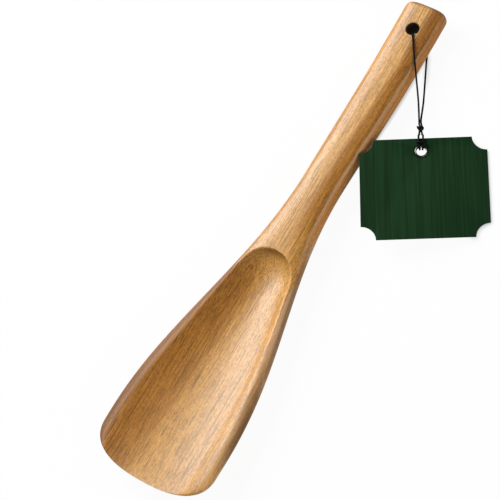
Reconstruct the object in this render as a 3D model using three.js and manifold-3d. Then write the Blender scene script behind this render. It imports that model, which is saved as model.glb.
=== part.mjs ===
// A wooden spatula lying on its back, with a card tag tied to the hole in its handle.
// Millimetres, +Z up, +Y from the blade towards the end of the handle, +X to the right of the front face.
// The origin is on the table, under the middle of the spatula's length.
import * as THREE from "three";
import Module from "manifold-3d";

// The wooden body
const LENGTH = 330;
const BLADE_WIDTH = 78;
const NECK_WIDTH = 24.6;
const HANDLE_END_WIDTH = 27.6;
const THICKNESS = 15.5;
const TIP_THICKNESS = 4.4;
const NECK_RISE = 2.6;
const END_RELIEF = 4.2;
const PLANED_OFF = 0.55;
const FLARE_FROM = 0.09;
const FLARE_TO = 0.615;
const TIP_ROUNDING = 22;
const END_ROUNDING = 7;

// The hollow in the front of the blade
const SCOOP_LENGTH = 153;
const SCOOP_DEPTH = 7.6;
const SCOOP_RIM = 5.4;
const SCOOP_ROUND_END = 21;

// The hanging hole
const HOLE_DIAMETER = 8;
const HOLE_INSET = 18.4;
const HOLE_CHAMFER = 0.6;

// The cord and its knot
const CORD_DIAMETER = 1;
const CORD_GAP = 0.28;
const KNOT_RADIUS = 1.2;
const KNOT_REACH = 63;
const KNOT_TURN = 57.07;

// The card tag and its eyelet
const TAG_WIDTH = 74.4;
const TAG_HEIGHT = 63.6;
const TAG_THICKNESS = 0.9;
const TAG_NOTCH = 8.6;
const TAG_TURN = 31.8;
const TAG_DROP = 6.45;
const TAG_HOLE_INSET = 8.4;
const TAG_HOLE_OFFSET = -1;
const EYELET_BORE = 5.6;
const EYELET_FLANGE = 8.2;
const EYELET_WALL = 0.4;
const EYELET_PROUD = 0.45;

const GAP = 0.3;
const RADIAN = Math.PI / 180;

const wasm = await Module();
wasm.setup();

const wood = new THREE.MeshStandardMaterial({ color: 0xb9854f, roughness: 0.55, metalness: 0 });
const thread = new THREE.MeshStandardMaterial({ color: 0x161616, roughness: 0.8, metalness: 0 });
const card = new THREE.MeshStandardMaterial({ color: 0x17301f, roughness: 0.75, metalness: 0 });
const metal = new THREE.MeshStandardMaterial({ color: 0xb9b7b0, roughness: 0.3, metalness: 1 });

// 1 at from and before it, 0 at to and after it, along half a cosine wave.
function easeDown(value, from, to) {
  const share = Math.min(Math.max((value - from) / (to - from), 0), 1);
  return 0.5 + 0.5 * Math.cos(Math.PI * share);
}

// 1 up to from, then down to 0 at to along a rounded (superelliptic) shoulder.
function shoulder(value, from, to, power) {
  const share = Math.min(Math.max((value - from) / (to - from), 0), 1);
  return Math.pow(1 - Math.pow(share, power), 1 / power);
}

// How much of a station belongs to the blade (1) and how much to the handle (0).
const bladeShare = (y) => easeDown(y, FLARE_FROM * LENGTH, FLARE_TO * LENGTH);

// Half the width of the plan outline at a station, without the rounded tip and end.
function sideWidth(y) {
  const along = Math.max(0, (y / LENGTH - FLARE_TO) / (1 - FLARE_TO));
  const handle = 0.5 * (NECK_WIDTH + (HANDLE_END_WIDTH - NECK_WIDTH) * along);
  return handle + 0.5 * (BLADE_WIDTH - NECK_WIDTH) * bladeShare(y);
}

function halfWidth(y) {
  const tip = shoulder(TIP_ROUNDING - y, 0, TIP_ROUNDING, 2.5);
  const end = shoulder(y, LENGTH - END_ROUNDING, LENGTH, 3.6);
  return sideWidth(y) * tip * end;
}

// The neck stands a little higher than the blade and the end of the handle.
function bow(y) {
  const away = Math.abs(y / LENGTH - 0.56);
  return NECK_RISE * easeDown(away, 0, 0.33);
}

const frontLevel = (y) => THICKNESS + bow(y);

function backLevel(y) {
  const tipTaper = 0.27 * LENGTH;
  const tip = Math.pow(Math.max(0, 1 - y / tipTaper), 1.7) * (THICKNESS - TIP_THICKNESS);
  const end = Math.pow(Math.max(0, (y / LENGTH - 0.77) / 0.23), 2) * END_RELIEF;
  return bow(y) + tip + end - PLANED_OFF;
}

// One cross-section: a flat front over a round back on the blade, a rounded oblong on the handle.
function section(y) {
  const blade = bladeShare(y);
  const thick = frontLevel(y) - backLevel(y);
  const nose = Math.pow(Math.max(0, 1 - y / (1.4 * TIP_ROUNDING)), 2);
  const front = thick * (0.5 - 0.32 * blade + 0.22 * nose);
  return {
    half: halfWidth(y),
    front,
    back: thick - front,
    parting: frontLevel(y) - front,
    frontPower: 3 + 1.5 * blade,
    backPower: 3 - 0.5 * blade,
  };
}

// The height of the front (side 1) or back (side -1) surface over a point of the plan.
function surface(x, y, side) {
  const cut = section(y);
  const power = side > 0 ? cut.frontPower : cut.backPower;
  const reach = Math.min(Math.abs(x) / cut.half, 1);
  const share = Math.pow(1 - Math.pow(reach, power), 1 / power);
  return cut.parting + (side > 0 ? cut.front : -cut.back) * share;
}

function ringAround(y, count) {
  const cut = section(y);
  const ring = [];
  for (let i = 0; i < count; i++) {
    const angle = (2 * Math.PI * i) / count;
    const c = Math.cos(angle);
    const s = Math.sin(angle);
    const power = s >= 0 ? cut.frontPower : cut.backPower;
    const depth = s >= 0 ? cut.front : cut.back;
    const x = cut.half * Math.sign(c) * Math.pow(Math.abs(c), 2 / power);
    const z = cut.parting + depth * Math.sign(s) * Math.pow(Math.abs(s), 2 / power);
    ring.push([x, y, z]);
  }
  return ring;
}

// A closed solid through rings of equal count, with a point or a flat cap at each end.
function loft(rings) {
  const count = rings[0].length;
  const points = [];
  const faces = [];
  for (const ring of rings) points.push(...ring);
  for (let k = 0; k + 1 < rings.length; k++) {
    for (let i = 0; i < count; i++) {
      const a = k * count + i;
      const b = k * count + ((i + 1) % count);
      faces.push([a, b + count, b], [a, a + count, b + count]);
    }
  }
  for (const first of [true, false]) {
    const ring = first ? rings[0] : rings[rings.length - 1];
    const start = first ? 0 : (rings.length - 1) * count;
    const middle = [0, 1, 2].map((k) => ring.reduce((sum, p) => sum + p[k], 0) / count);
    points.push(middle);
    for (let i = 0; i < count; i++) {
      const a = start + i;
      const b = start + ((i + 1) % count);
      faces.push(first ? [points.length - 1, a, b] : [points.length - 1, b, a]);
    }
  }
  return new wasm.Manifold(
    new wasm.Mesh({
      numProp: 3,
      vertProperties: new Float32Array(points.flat()),
      triVerts: new Uint32Array(faces.flat()),
    }),
  );
}

function solidFrom(geometry) {
  const plain = geometry.index ? geometry.toNonIndexed() : geometry;
  const position = plain.getAttribute("position");
  const seen = new Map();
  const points = [];
  const corners = [];
  for (let i = 0; i < position.count; i++) {
    const at = [position.getX(i), position.getY(i), position.getZ(i)];
    const key = at.map((v) => Math.round(v * 2000)).join(",");
    if (!seen.has(key)) {
      seen.set(key, points.length);
      points.push(at);
    }
    corners.push(seen.get(key));
  }
  const faces = [];
  for (let i = 0; i < corners.length; i += 3) {
    const [a, b, c] = corners.slice(i, i + 3);
    if (a !== b && b !== c && a !== c) faces.push(a, b, c);
  }
  return new wasm.Manifold(
    new wasm.Mesh({
      numProp: 3,
      vertProperties: new Float32Array(points.flat()),
      triVerts: new Uint32Array(faces),
    }),
  );
}

function geometryOf(solid) {
  const mesh = solid.getMesh();
  const geometry = new THREE.BufferGeometry();
  geometry.setAttribute("position", new THREE.BufferAttribute(mesh.vertProperties, 3));
  geometry.setIndex(new THREE.BufferAttribute(mesh.triVerts, 1));
  geometry.computeVertexNormals();
  return geometry;
}

function piece(name, geometry, material) {
  const mesh = new THREE.Mesh(geometry, material);
  mesh.name = name;
  return mesh;
}

// Stations from one place to another, closer together at both ends.
function stations(from, to, count) {
  const list = [];
  for (let i = 0; i <= count; i++) {
    list.push(from + (to - from) * (0.5 - 0.5 * Math.cos((Math.PI * i) / count)));
  }
  return list;
}

// The body: a blank lofted through its cross-sections, planed flat underneath
const bodyStations = [
  ...stations(0.05, 2 * TIP_ROUNDING, 22).slice(0, -1),
  ...stations(2 * TIP_ROUNDING, LENGTH - 2 * END_ROUNDING, 30).slice(0, -1),
  ...stations(LENGTH - 2 * END_ROUNDING, LENGTH - 0.03, 12),
];
const blank = loft(bodyStations.map((y) => ringAround(y, 44)));
const plane = new THREE.BoxGeometry(2 * BLADE_WIDTH, 2 * LENGTH, 20);
plane.translate(0, 0.5 * LENGTH, -10);

// The scoop: a hollow that is deepest below its round upper end and fades out at the tip
const scoopTurn = SCOOP_LENGTH - SCOOP_ROUND_END;
const scoopSlope = SCOOP_LENGTH - 1.25 * SCOOP_ROUND_END;

function scoopRing(y) {
  const side = sideWidth(Math.min(y, scoopTurn));
  const inner = side - SCOOP_RIM * Math.pow((2 * side) / BLADE_WIDTH, 2);
  const half = inner * shoulder(y, scoopTurn, SCOOP_LENGTH, 2);
  const fade = 0.3 + 0.7 * Math.pow(Math.min(Math.max(y / scoopSlope, 0), 1), 0.6);
  const depth = SCOOP_DEPTH * fade * shoulder(y, scoopSlope, SCOOP_LENGTH, 2);
  const level = frontLevel(y);
  const ring = [];
  const steps = 22;
  for (let i = 0; i <= steps; i++) {
    const across = Math.sin((Math.PI / 2) * (1 - (2 * i) / steps));
    const down = depth * (1 - Math.pow(Math.abs(across), 2.2));
    ring.push([half * across, y, level - down]);
  }
  ring.push([-half, y, level + 4], [half, y, level + 4]);
  return ring.reverse();
}

const scoopStations = stations(-6, 2 * SCOOP_LENGTH + 6, 76).filter((y) => y < scoopTurn);
const scoopEnd = [1, 0.86, 0.72, 0.6, 0.49, 0.39, 0.3, 0.22, 0.15, 0.09, 0.045, 0.018, 0.005];
const scoop = loft(
  [...scoopStations, ...scoopEnd.map((share) => SCOOP_LENGTH - share * SCOOP_ROUND_END)].map(scoopRing),
);

// The hanging hole, eased at both faces
const holeY = LENGTH - HOLE_INSET;
const holeFront = frontLevel(holeY);
const holeBack = backLevel(holeY);
const holeRadius = HOLE_DIAMETER / 2;
const holeProfile = [
  [0, holeBack - 2],
  [holeRadius + HOLE_CHAMFER + 2, holeBack - 2],
  [holeRadius, holeBack + HOLE_CHAMFER],
  [holeRadius, holeFront - HOLE_CHAMFER],
  [holeRadius + HOLE_CHAMFER + 2, holeFront + 2],
  [0, holeFront + 2],
].map(([r, h]) => new THREE.Vector2(r, h));
const holeTool = new THREE.LatheGeometry(holeProfile, 40);
holeTool.rotateX(Math.PI / 2);
holeTool.translate(0, holeY, 0);

const body = blank.subtract(solidFrom(plane)).subtract(scoop).subtract(solidFrom(holeTool));

// A round cord along a smooth line through some points.
function cordAlong(points, steps) {
  const path = new THREE.CatmullRomCurve3(
    points.map((p) => new THREE.Vector3(...p)),
    false,
    "centripetal",
  );
  const round = new THREE.Shape();
  round.absarc(0, 0, CORD_DIAMETER / 2, 0, 2 * Math.PI, false);
  return new THREE.ExtrudeGeometry(round, { steps, extrudePath: path, curveSegments: 4 });
}

// The knot lies to the right of the handle
const knotX = KNOT_REACH * Math.cos(KNOT_TURN * RADIAN);
const knotY = holeY - KNOT_REACH * Math.sin(KNOT_TURN * RADIAN);

// The tag's outline, seen from its knot: +X to its right, +Y from the tag to the knot
const tagTop = -TAG_DROP;
const tagLow = tagTop - TAG_HEIGHT;
const tagLeft = -0.5 * TAG_WIDTH - TAG_HOLE_OFFSET;
const tagRight = tagLeft + TAG_WIDTH;
const eyeY = tagTop - TAG_HOLE_INSET;
const tagShape = new THREE.Shape();
tagShape.moveTo(tagLeft + TAG_NOTCH, tagLow);
tagShape.lineTo(tagRight - TAG_NOTCH, tagLow);
tagShape.absarc(tagRight, tagLow, TAG_NOTCH, Math.PI, 0.5 * Math.PI, true);
tagShape.lineTo(tagRight, tagTop - TAG_NOTCH);
tagShape.absarc(tagRight, tagTop, TAG_NOTCH, 1.5 * Math.PI, Math.PI, true);
tagShape.lineTo(tagLeft + TAG_NOTCH, tagTop);
tagShape.absarc(tagLeft, tagTop, TAG_NOTCH, 0, 1.5 * Math.PI, true);
tagShape.lineTo(tagLeft, tagLow + TAG_NOTCH);
tagShape.absarc(tagLeft, tagLow, TAG_NOTCH, 0.5 * Math.PI, 0, true);

// Where the tag stands when it leans by an angle with its right edge on the table.
function tagFrame(lean) {
  const height = GAP + 0.5 * TAG_THICKNESS + tagRight * Math.sin(lean);
  const turned = new THREE.Euler(0, lean, TAG_TURN * RADIAN, "ZYX");
  return { place: new THREE.Vector3(knotX, knotY, height), turned };
}

// The least room between the card's underside and the handle.
function tagClearance(lean) {
  const { place, turned } = tagFrame(lean);
  let least = Infinity;
  for (const { x, y } of tagShape.getSpacedPoints(240)) {
    const at = new THREE.Vector3(x, y, -0.5 * TAG_THICKNESS).applyEuler(turned).add(place);
    const y0 = Math.min(Math.max(at.y, 0), LENGTH);
    if (Math.abs(at.x) < halfWidth(y0)) least = Math.min(least, at.z - surface(at.x, y0, 1));
  }
  return least;
}

// The tag's left edge rests on the handle: the least lean that clears it.
let tagLean = 0;
while (tagLean < 0.6 && tagClearance(tagLean) < GAP + 0.1) tagLean += 0.002;
const tagStand = tagFrame(tagLean);
const knotHeight = tagStand.place.z;

// The cord runs to the knot over the handle and from under it
const cordRadius = CORD_DIAMETER / 2;
const lift = cordRadius + CORD_GAP;
const outX = Math.cos(KNOT_TURN * RADIAN);
const outY = -Math.sin(KNOT_TURN * RADIAN);
const inHole = holeRadius - lift - 0.05;

function onFront(reach) {
  const x = reach * outX;
  const y = holeY + reach * outY;
  return [x, y, surface(x, y, 1) + lift];
}

const overTheEdge = [2.6, 2.95, 3.3].map((share) => onFront((share / 3.3) * 0.36 * HANDLE_END_WIDTH / outX));
const leave = overTheEdge[2];
const knotTop = [knotX - 2.7 * outX, knotY - 2.7 * outY, knotHeight];
const towards = (a, b, share, sag) => [0, 1, 2].map((k) => a[k] + (b[k] - a[k]) * share - (k === 2 ? sag : 0));
const under = 0.5 * Math.max(surface(0, holeY - holeRadius, -1), 2 * lift);
const rightEdge = sideWidth(holeY);
const edgeExit = [0.92 * rightEdge, holeY - 2.65 * holeRadius, lift + 0.35];
const knotSide = [knotTop[0] + 0.62, knotTop[1] + 0.4, knotHeight];
const edgeLength = Math.hypot(knotSide[0] - edgeExit[0], knotSide[1] - edgeExit[1]);
const edgeOutX = (knotSide[0] - edgeExit[0]) / edgeLength;
const edgeOutY = (knotSide[1] - edgeExit[1]) / edgeLength;
// Both strands run side by side for the last few millimetres above the knot
const beside = (reach, side) => [knotX - reach * outX - side * outY, knotY - reach * outY + side * outX, knotHeight];
const upperLoop = cordAlong(
  [
    [knotTop[0] - 0.45, knotTop[1] - 0.3, knotTop[2]],
    beside(5.6, -0.62),
    towards(leave, knotTop, 0.66, 0.7),
    towards(leave, knotTop, 0.35, 0.6),
    leave,
    overTheEdge[0],
    onFront(holeRadius + HOLE_CHAMFER + 2.2),
    [(inHole + 1.1) * outX, holeY + (inHole + 1.1) * outY, holeFront + 0.78],
    [(inHole + 0.2) * outX, holeY + (inHole + 0.2) * outY, holeFront - 0.15],
    [inHole * outX, holeY + inHole * outY, holeFront - 2.4],
    [inHole * outX, holeY + inHole * outY, 0.5 * (holeFront + holeBack)],
    [inHole * outX, holeY + inHole * outY, holeBack + 2.6],
    [(inHole + 0.8) * outX, holeY + (inHole + 0.6) * outY, under + 0.55],
    [0.47 * rightEdge, holeY - holeRadius, under],
    [edgeExit[0] - 3.6 * edgeOutX, edgeExit[1] - 3.6 * edgeOutY, under],
    edgeExit,
    towards(edgeExit, knotSide, 0.33, 0.5),
    towards(edgeExit, knotSide, 0.66, 0.5),
    beside(5.6, 0.62),
    knotSide,
  ],
  110,
);

const knot = new THREE.TorusKnotGeometry(KNOT_RADIUS, cordRadius, 60, 8, 2, 3);

// The card, with a hole for its eyelet
const tagHole = new THREE.Path();
tagHole.absarc(0, eyeY, EYELET_BORE / 2 + EYELET_WALL + GAP, 0, 2 * Math.PI, true);
tagShape.holes.push(tagHole);
const tagCard = new THREE.ExtrudeGeometry(tagShape, { depth: TAG_THICKNESS, bevelEnabled: false, curveSegments: 14 });
tagCard.translate(0, 0, -0.5 * TAG_THICKNESS);

// The eyelet: a barrel through the card with a rolled flange on each face
const bore = EYELET_BORE / 2;
const flange = EYELET_FLANGE / 2;
const face = 0.5 * TAG_THICKNESS + 0.12;
const eyeletProfile = [
  [bore, -face],
  [bore + 0.15, -face - EYELET_PROUD],
  [bore + 0.5, -face - EYELET_PROUD - 0.1],
  [flange - 0.25, -face - 0.25],
  [flange - 0.15, -face],
  [bore + EYELET_WALL, -face],
  [bore + EYELET_WALL, face],
  [flange, face],
  [flange - 0.1, face + 0.25],
  [bore + 0.55, face + EYELET_PROUD],
  [bore + 0.15, face + EYELET_PROUD - 0.1],
  [bore, face],
  [bore, -face],
].map(([r, h]) => new THREE.Vector2(r, h));
const eyelet = new THREE.LatheGeometry(eyeletProfile, 36);
eyelet.rotateX(Math.PI / 2);
eyelet.translate(0, eyeY, 0);

// The hitch: both legs go down through the eyelet, their bight comes up behind, over the top edge and under the
// legs, and folds over them just above the eyelet
const overCard = 0.5 * TAG_THICKNESS + cordRadius + 0.12;
const overLoop = overCard + CORD_DIAMETER + 0.14;
const overFlange = face + EYELET_PROUD + lift + 0.1;
const throughY = eyeY + bore - lift - 0.18;
const legX = 0.78 * CORD_DIAMETER;
const armX = 1.3 * CORD_DIAMETER;
const foldX = 2.4 * CORD_DIAMETER;
const foldY = eyeY + 0.5 * EYELET_FLANGE + 0.7;
const legSide = [
  [legX, -KNOT_RADIUS - 1.55, 0],
  [1.15 * legX, 0.5 * (tagTop - KNOT_RADIUS - 1.55) + 0.4, 0.75],
  [armX, tagTop + 1.15, overLoop - 0.2],
  [armX, tagTop - 0.3, overLoop + 0.12],
  [armX, tagTop - 2.2, overLoop + 0.06],
  [0.95 * armX, foldY, overLoop],
  [1.25 * legX, throughY + 1.5, overFlange + 0.12],
  [1.08 * legX, throughY + 0.45, overFlange - 0.15],
  [legX, throughY, 0.8],
  [legX, throughY, -0.8],
  [1.05 * legX, throughY + 0.45, -overFlange + 0.12],
  [1.3 * legX, throughY + 1.8, -overFlange - 0.1],
  [armX, tagTop - 2.2, -overCard - 0.2],
  [armX, tagTop - 0.4, -overCard],
  [armX, tagTop + 0.48, -0.92],
  [armX, tagTop + cordRadius + 0.26, 0],
  [armX, tagTop + 0.48, 0.92],
  [armX, tagTop - 0.4, overCard],
  [armX + 0.05, foldY + 2.1, overCard],
  [0.8 * foldX, foldY + 0.75, overCard + 0.25],
  [foldX, foldY + 0.1, overLoop],
  [0.86 * foldX, foldY - 0.1, overLoop + 0.72],
  [0.5 * foldX, foldY - 0.15, overLoop + CORD_DIAMETER + 0.12],
];
const mirrored = legSide.map(([x, y, z]) => [-x, y, z]).reverse();
const hitch = cordAlong([...legSide, [0, foldY - 0.15, overLoop + CORD_DIAMETER + 0.2], ...mirrored], 170);

// The assembly
const part = new THREE.Group();
part.name = "spatula_with_tag";
const laid = new THREE.Group();
laid.name = "laid_from_the_tip";
laid.position.y = -0.5 * LENGTH;
part.add(laid);
laid.add(piece("spatula_body", geometryOf(body), wood));
laid.add(piece("cord_upper_loop", geometryOf(solidFrom(upperLoop)), thread));

const tied = new THREE.Group();
tied.name = "tag_on_its_knot";
tied.position.copy(tagStand.place);
tied.rotation.copy(tagStand.turned);
laid.add(tied);
tied.add(piece("cord_knot", knot, thread));
tied.add(piece("tag_hitch", geometryOf(solidFrom(hitch)), thread));
tied.add(piece("tag_card", tagCard, card));
tied.add(piece("tag_eyelet", eyelet, metal));

export default part;
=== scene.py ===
# %% [markdown]
# # A wooden spatula with a swing tag
# This lesson dresses a plain CAD model of a cooking spatula. The wood is carved again with a soft
# lip round its hollow, the thread gets its plies, and the tag gets a real punched card and a rolled
# eyelet. Lengths in the shapes are written in millimetres, as on a drawing, and one factor turns
# them into Blender's metres.

# %% Load the CAD model
import math

import bmesh
import bpy
from mathutils import Matrix, Vector


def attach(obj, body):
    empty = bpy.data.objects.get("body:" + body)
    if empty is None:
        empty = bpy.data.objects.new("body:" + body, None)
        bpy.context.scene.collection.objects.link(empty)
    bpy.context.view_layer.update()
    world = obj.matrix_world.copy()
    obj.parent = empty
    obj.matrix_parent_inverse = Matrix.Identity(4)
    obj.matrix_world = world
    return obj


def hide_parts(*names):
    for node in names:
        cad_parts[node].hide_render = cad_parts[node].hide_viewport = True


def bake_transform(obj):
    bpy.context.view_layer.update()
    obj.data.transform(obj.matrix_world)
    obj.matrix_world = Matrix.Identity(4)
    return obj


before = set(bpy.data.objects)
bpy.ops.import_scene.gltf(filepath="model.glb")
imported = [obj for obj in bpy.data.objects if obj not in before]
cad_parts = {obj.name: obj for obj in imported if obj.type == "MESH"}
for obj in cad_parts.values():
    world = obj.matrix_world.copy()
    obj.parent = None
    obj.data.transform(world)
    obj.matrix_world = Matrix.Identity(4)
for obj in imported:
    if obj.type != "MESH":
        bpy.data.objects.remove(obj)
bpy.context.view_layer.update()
MM = 0.001

# %% [markdown]
# ## The camera
# The picture looks down on a table from about 62 degrees, with a long lens, so that the blade is
# only a little larger than the handle. The three directions below are the camera's own right, up
# and back.

# %% Place the camera
bpy.ops.object.select_all(action="DESELECT")
bpy.ops.object.camera_add()
camera = bpy.context.object
camera.name = "table_camera"
camera.data.sensor_width = 36
camera.data.lens = 144
camera.data.dof.use_dof = False
camera_right = Vector((0.8171, 0.5092, -0.2704))
camera_up = Vector((-0.3944, 0.8357, 0.3821))
camera_back = Vector((0.4206, -0.2056, 0.8837))
camera_place = Vector((0.4725, -0.2566, 1.0409))
turned = Matrix((camera_right, camera_up, camera_back)).transposed()
camera.matrix_world = Matrix.Translation(camera_place) @ turned.to_4x4()
bpy.context.scene.camera = camera
print("camera at", [round(v, 3) for v in camera.location])

# %% [markdown]
# ## Helpers for finishes
# Colours are picked as sRGB hex values, the way that they are read off a photograph, and one
# function turns them into the linear values that a shader needs. One small function adds a node,
# sets it and links it. The four after it add the kinds of node that the finishes use most: sums,
# ranges, ramps of two tones, and mixed colours.

# %% Colour helper
def colour(hex_value):
    parts = [int(hex_value[i : i + 2], 16) / 255 for i in (1, 3, 5)]
    linear = [v / 12.92 if v <= 0.04045 else ((v + 0.055) / 1.055) ** 2.4 for v in parts]
    return (*linear, 1.0)


print("oiled wood mid tone in linear light", [round(v, 3) for v in colour("#C08B4F")])

# %% Node helpers
def new_material(name):
    material = bpy.data.materials.new(name)
    material.use_nodes = True
    material.node_tree.nodes.clear()
    return material.node_tree, material


def add(tree, kind, inputs=None, **settings):
    made = tree.nodes.new(kind)
    for name, value in settings.items():
        setattr(made, name, value)
    for name, value in (inputs or {}).items():
        if isinstance(value, bpy.types.NodeSocket):
            tree.links.new(value, made.inputs[name])
        else:
            made.inputs[name].default_value = value
    return made


def reckon(tree, operation, *values):
    return add(tree, "ShaderNodeMath", dict(enumerate(values)), operation=operation).outputs[0]


def in_range(tree, value, start, end, low=0.0, high=1.0):
    """A number that goes from low to high while the value goes from start to end."""
    return add(tree, "ShaderNodeMapRange", {0: value, 1: start, 2: end, 3: low, 4: high}).outputs[0]


def two_tones(tree, value, first, second, start=0.0, end=1.0):
    made = add(tree, "ShaderNodeValToRGB", {0: value})
    for stop, position, tone in zip(made.color_ramp.elements, (start, end), (first, second)):
        stop.position = position
        stop.color = colour(tone)
    return made.outputs[0]


def mix_colours(tree, factor, below, over, blend_type="MIX"):
    inputs = {0: factor, 6: below, 7: over}
    return add(tree, "ShaderNodeMix", inputs, data_type="RGBA", blend_type=blend_type).outputs[2]


print("helpers", [made.__name__ for made in (add, reckon, in_range, two_tones, mix_colours)])

# %% [markdown]
# ## The table and the light
# The spatula lies on a white sweep. Paper that is lit from one side only would look grey, so the
# floor glows white for the camera, and a share of plain paper is left in it to take the soft
# shadow. Right under the wood, where little light gets in, Ambient Occlusion takes the glow away.
# For all other light the floor is a mid grey, so that it doesn't wash out the undersides.

# %% White floor
GLOW_SHARE = 0.95
bpy.ops.object.select_all(action="DESELECT")
bpy.ops.mesh.primitive_plane_add(size=8, location=(0, 0, -0.2 * MM))
floor = bpy.context.object
floor.name = "white_floor"
tree, floor_paper = new_material("white_paper_sweep")
path = add(tree, "ShaderNodeLightPath").outputs
seen = reckon(tree, "ADD", path["Is Camera Ray"], path["Is Glossy Ray"])
seen = reckon(tree, "ADD", seen, path["Is Transmission Ray"])
sheet_grey = mix_colours(tree, seen, colour("#8C8C8C"), colour("#F4F4F4"))
paper = add(tree, "ShaderNodeBsdfDiffuse", {"Color": sheet_grey})
glow = add(tree, "ShaderNodeEmission", {"Color": (1, 1, 1, 1), "Strength": 1.0})
open_sky = add(tree, "ShaderNodeAmbientOcclusion", {"Distance": 3 * MM}).outputs["AO"]
share = reckon(tree, "MULTIPLY", reckon(tree, "MULTIPLY", seen, GLOW_SHARE), open_sky)
both = add(tree, "ShaderNodeMixShader", {0: share, 1: paper.outputs[0], 2: glow.outputs[0]})
add(tree, "ShaderNodeOutputMaterial", {"Surface": both.outputs[0]})
floor.data.materials.append(floor_paper)
print("floor", [round(v, 1) for v in floor.dimensions[:2]], "m")

# %% [markdown]
# ## Lamps
# A large softbox stands low on the left. Oiled wood mirrors it as a broad satin sheen wherever the
# surface leans to it, which is what shows the hollow. A weaker, low lamp on the right keeps the far
# sides brown instead of black.

# %% White room
world = bpy.data.worlds.new("white_room")
bpy.context.scene.world = world
world.use_nodes = True
tree = world.node_tree
tree.nodes.clear()
path = add(tree, "ShaderNodeLightPath").outputs
room = add(tree, "ShaderNodeBackground", {"Color": (1, 1, 1, 1), "Strength": 0.1})
backdrop = add(tree, "ShaderNodeBackground", {"Color": (1, 1, 1, 1), "Strength": 1.0})
either = {0: path["Is Camera Ray"], 1: room.outputs[0], 2: backdrop.outputs[0]}
shown = add(tree, "ShaderNodeMixShader", either)
add(tree, "ShaderNodeOutputWorld", {"Surface": shown.outputs[0]})
print("world", world.name)

# %% Two lamps
def soft_lamp(name, place, width, height, power):
    bpy.ops.object.light_add(type="AREA", location=place)
    lamp = bpy.context.object
    lamp.name = name
    lamp.data.shape = "RECTANGLE"
    lamp.data.size = width
    lamp.data.size_y = height
    lamp.data.energy = power
    lamp.rotation_euler = (-Vector(place)).to_track_quat("-Z", "Y").to_euler()
    return lamp


soft_lamp("key_softbox", (-1.02, 0.27, 0.85), 0.95, 0.95, 26)
soft_lamp("low_fill", (1.2, -0.32, 0.4), 2.2, 0.75, 11)
bpy.context.scene.view_settings.view_transform = "Standard"

# %% [markdown]
# ## The shape of the wood
# The body is one carved board: a flared blade that thins to the tip on its back, a neck that stands
# a little higher, and a handle that swells towards its end. Each cross-section is a rounded oblong.
# Short formulas give its width and levels at any distance from the tip, so that the outline runs in
# one sweep.

# %% Sizes of the wood in millimetres
LENGTH = 330
BLADE_WIDTH = 78
NECK_WIDTH = 24.6
HANDLE_END_WIDTH = 27.6
THICKNESS = 15.5
TIP_THICKNESS = 4.4
TIP_TAPER = 0.27
NECK_RISE = 2.6
NECK_AT = 0.56
NECK_SPREAD = 0.33
END_RELIEF = 4.2
END_TAPER = 0.77
PLANED_OFF = 0.55
FLARE_FROM = 0.09 * LENGTH
FLARE_TO = 0.615 * LENGTH
TIP_ROUNDING = 22
END_ROUNDING = 7
SCOOP_LENGTH = 153
SCOOP_DEPTH = 7.6
SCOOP_RIM = 5.4
SCOOP_ROUND = 21
SCOOP_TURN = SCOOP_LENGTH - SCOOP_ROUND
SCOOP_SLOPE = SCOOP_LENGTH - 1.25 * SCOOP_ROUND
HOLE_RADIUS = 4
HOLE_Y = LENGTH - 18.4
print("board", LENGTH, "by", BLADE_WIDTH, "by", THICKNESS, "mm")

# %% Outline and levels
def share_of(value, start, end):
    return min(max((value - start) / (end - start), 0), 1)


def ease_down(value, start, end):
    return 0.5 + 0.5 * math.cos(math.pi * share_of(value, start, end))


def shoulder(value, start, end, power):
    return (1 - share_of(value, start, end) ** power) ** (1 / power)


def blade_share(y):
    return ease_down(y, FLARE_FROM, FLARE_TO)


def side_width(y):
    swell = max(0, (y - FLARE_TO) / (LENGTH - FLARE_TO))
    handle = 0.5 * (NECK_WIDTH + (HANDLE_END_WIDTH - NECK_WIDTH) * swell)
    return handle + 0.5 * (BLADE_WIDTH - NECK_WIDTH) * blade_share(y)


def half_width(y):
    tip = shoulder(TIP_ROUNDING - y, 0, TIP_ROUNDING, 2.5)
    end = shoulder(y, LENGTH - END_ROUNDING, LENGTH, 3.6)
    return side_width(y) * tip * end


def bow(y):
    return NECK_RISE * ease_down(abs(y / LENGTH - NECK_AT), 0, NECK_SPREAD)


def front_level(y):
    return THICKNESS + bow(y)


def back_level(y):
    tip = max(0, 1 - y / (TIP_TAPER * LENGTH)) ** 1.7 * (THICKNESS - TIP_THICKNESS)
    end = max(0, (y / LENGTH - END_TAPER) / (1 - END_TAPER)) ** 2 * END_RELIEF
    return bow(y) + tip + end - PLANED_OFF


for y in (0, 80, 165, 250, 330):
    levels = [round(v, 1) for v in (side_width(y), front_level(y), back_level(y))]
    print("at", y, "mm the half width, front and back are", levels)

# %% [markdown]
# ## Cross-sections with the hollow
# The front of a section is a flat curve, the back a rounder one. Where the hollow is, the front
# takes the lower of the two surfaces, and a soft minimum eases the lip by less than a millimetre,
# as sandpaper would. The sections also close in over the last millimetres of the tip and of the
# handle's end, so that no edge there is sharp.

# %% Front and back
TIP_EASE = 1.5
END_EASE = 3.4


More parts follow.
